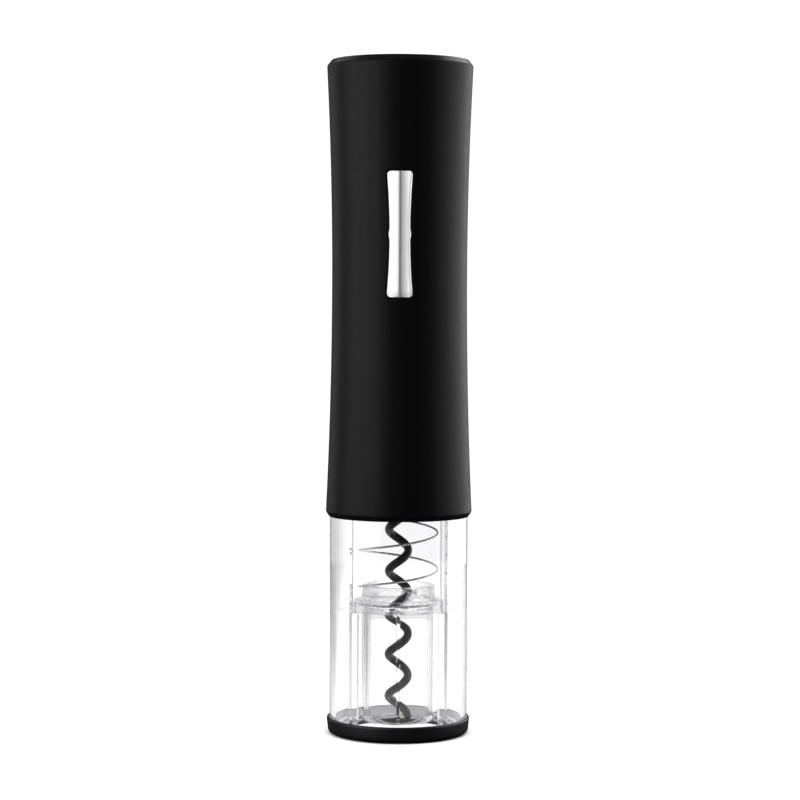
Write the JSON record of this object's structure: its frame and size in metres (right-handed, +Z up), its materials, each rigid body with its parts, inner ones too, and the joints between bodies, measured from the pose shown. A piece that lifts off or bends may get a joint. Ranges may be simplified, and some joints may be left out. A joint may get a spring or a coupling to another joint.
{
  "type": "electric wine opener",
  "caption": "Upright electric wine opener: waisted black body with a silver rocker, clear lower shell with a sprung cork guide round a worm, black foot ring.",
  "frame": {"origin": "centre of the foot ring's underside, where the opener stands", "axes": "+Z up along the worm's axis, the rocker faces -Y, +X to the right seen from the front"},
  "size_m": [0.0524, 0.0522, 0.2405],
  "materials": {
    "soft_black": "soft-touch matt black, fine texture",
    "cover_black": "satin black moulding with a polished bevel",
    "black_plastic": "matt black moulding",
    "graphite_plastic": "unpainted dark grey moulding",
    "clear_plastic": "clear polished styrene",
    "guide_plastic": "clear polished moulding",
    "satin_silver": "satin silver",
    "coated_worm": "steel wire with a black low-friction coating",
    "spring_steel": "bright drawn wire",
    "plain_steel": "plated sheet and bar",
    "fastener_steel": "zinc plated",
    "bronze": "sintered bronze and brass",
    "copper": "enamelled copper",
    "ferrite": "ground ferrite",
    "nylon": "natural acetal",
    "cell_jacket": "printed jacket in two plain colours",
    "board_green": "solder resist",
    "red_wire": "silicone insulation",
    "black_wire": "silicone insulation"
  },
  "bodies": {
    "lower_shell": {"clear_shell": "clear_plastic", "base_ring": "black_plastic", "spring_retainer": "graphite_plastic", "guide_spring": "spring_steel"},
    "guide": {"cork_guide": "guide_plastic"},
    "housing": {"body_shell": "soft_black", "nose_plate": "graphite_plastic", "nose_screws": "fastener_steel", "gearbox_front_plate": "graphite_plastic", "output_bush": "bronze", "ring_gear": "graphite_plastic", "gearbox_motor_plate": "plain_steel", "motor_screws": "fastener_steel", "frame_left": "graphite_plastic", "frame_right": "graphite_plastic", "frame_screws": "fastener_steel", "motor_can": "plain_steel", "motor_magnets": "ferrite", "motor_front_bush": "bronze", "motor_rear_bush": "bronze", "motor_end_cap": "black_plastic", "motor_brushes": "copper", "motor_terminals": "bronze", "battery_holder": "graphite_plastic", "holder_screws": "fastener_steel", "holder_contacts": "spring_steel", "battery_1": "cell_jacket", "battery_2": "cell_jacket", "battery_3": "cell_jacket", "battery_4": "cell_jacket", "circuit_board": "board_green", "board_screws": "fastener_steel", "switch_lower": "graphite_plastic", "switch_upper": "graphite_plastic", "button_frame": "black_plastic", "wire_red": "red_wire", "wire_black": "black_wire"},
    "cover": {"battery_cover": "cover_black", "cover_contacts": "spring_steel"},
    "rocker": {"button_rocker": "satin_silver"},
    "worm_drive": {"worm": "coated_worm", "worm_hub": "plain_steel", "hub_pin": "fastener_steel", "output_carrier": "plain_steel", "output_carrier_pins": "fastener_steel"},
    "first_stage": {"first_carrier": "plain_steel", "first_carrier_pins": "fastener_steel"},
    "rotor": {"motor_shaft": "fastener_steel", "rotor_core": "plain_steel", "rotor_windings": "copper", "commutator": "copper", "motor_pinion": "bronze"},
    "output_gear_1": {"output_planet_1": "nylon"},
    "first_gear_1": {"first_planet_1": "nylon"},
    "output_gear_2": {"output_planet_2": "nylon"},
    "first_gear_2": {"first_planet_2": "nylon"},
    "output_gear_3": {"output_planet_3": "nylon"},
    "first_gear_3": {"first_planet_3": "nylon"}
  },
  "joints": [
    {"name": "body_lift", "type": "slide", "parent": "lower_shell", "child": "housing", "axis": [0, 0, 1], "range_m": [0, 0.09]},
    {"name": "guide_slide", "type": "slide", "parent": "lower_shell", "child": "guide", "axis": [0, 0, 1], "range_m": [0, 0.028], "stiffness_N_per_m": 60, "springref_m": -0.03, "deforming": ["guide_spring"]},
    {"name": "cover_lift", "type": "slide", "parent": "housing", "child": "cover", "axis": [0, 0, 1], "range_m": [0, 0.03]},
    {"name": "button_rock", "type": "hinge", "parent": "housing", "child": "rocker", "pos_m": [0, -0.0194, 0.1782], "axis": [1, 0, 0], "range_deg": [-2, 2], "stiffness_Nm_per_rad": 0.3},
    {"name": "rotor_spin", "type": "hinge", "parent": "housing", "child": "rotor", "pos_m": [0, 0, 0.14], "axis": [0, 0, 1], "continuous": true},
    {"name": "first_stage_spin", "type": "hinge", "parent": "housing", "child": "first_stage", "pos_m": [0, 0, 0.1085], "axis": [0, 0, 1], "continuous": true},
    {"name": "worm_spin", "type": "hinge", "parent": "housing", "child": "worm_drive", "pos_m": [0, 0, 0.094], "axis": [0, 0, 1], "continuous": true},
    {"name": "output_gear_1_spin", "type": "hinge", "parent": "worm_drive", "child": "output_gear_1", "pos_m": [0.00907, 0, 0.1026], "axis": [0, 0, 1], "continuous": true},
    {"name": "first_gear_1_spin", "type": "hinge", "parent": "first_stage", "child": "first_gear_1", "pos_m": [0.00907, 0, 0.1132], "axis": [0, 0, 1], "continuous": true},
    {"name": "output_gear_2_spin", "type": "hinge", "parent": "worm_drive", "child": "output_gear_2", "pos_m": [-0.00454, 0.00786, 0.1026], "axis": [0, 0, 1], "continuous": true},
    {"name": "first_gear_2_spin", "type": "hinge", "parent": "first_stage", "child": "first_gear_2", "pos_m": [-0.00454, 0.00786, 0.1132], "axis": [0, 0, 1], "continuous": true},
    {"name": "output_gear_3_spin", "type": "hinge", "parent": "worm_drive", "child": "output_gear_3", "pos_m": [-0.00454, -0.00786, 0.1026], "axis": [0, 0, 1], "continuous": true},
    {"name": "first_gear_3_spin", "type": "hinge", "parent": "first_stage", "child": "first_gear_3", "pos_m": [-0.00454, -0.00786, 0.1132], "axis": [0, 0, 1], "continuous": true}
  ],
  "couplings": [
    {"joint": "first_stage_spin", "follows": "rotor_spin", "ratio": 0.13636},
    {"joint": "worm_spin", "follows": "rotor_spin", "ratio": 0.018595},
    {"joint": "output_gear_1_spin", "follows": "rotor_spin", "ratio": -0.044163},
    {"joint": "first_gear_1_spin", "follows": "rotor_spin", "ratio": -0.32386},
    {"joint": "output_gear_2_spin", "follows": "rotor_spin", "ratio": -0.044163},
    {"joint": "first_gear_2_spin", "follows": "rotor_spin", "ratio": -0.32386},
    {"joint": "output_gear_3_spin", "follows": "rotor_spin", "ratio": -0.044163},
    {"joint": "first_gear_3_spin", "follows": "rotor_spin", "ratio": -0.32386}
  ]
}
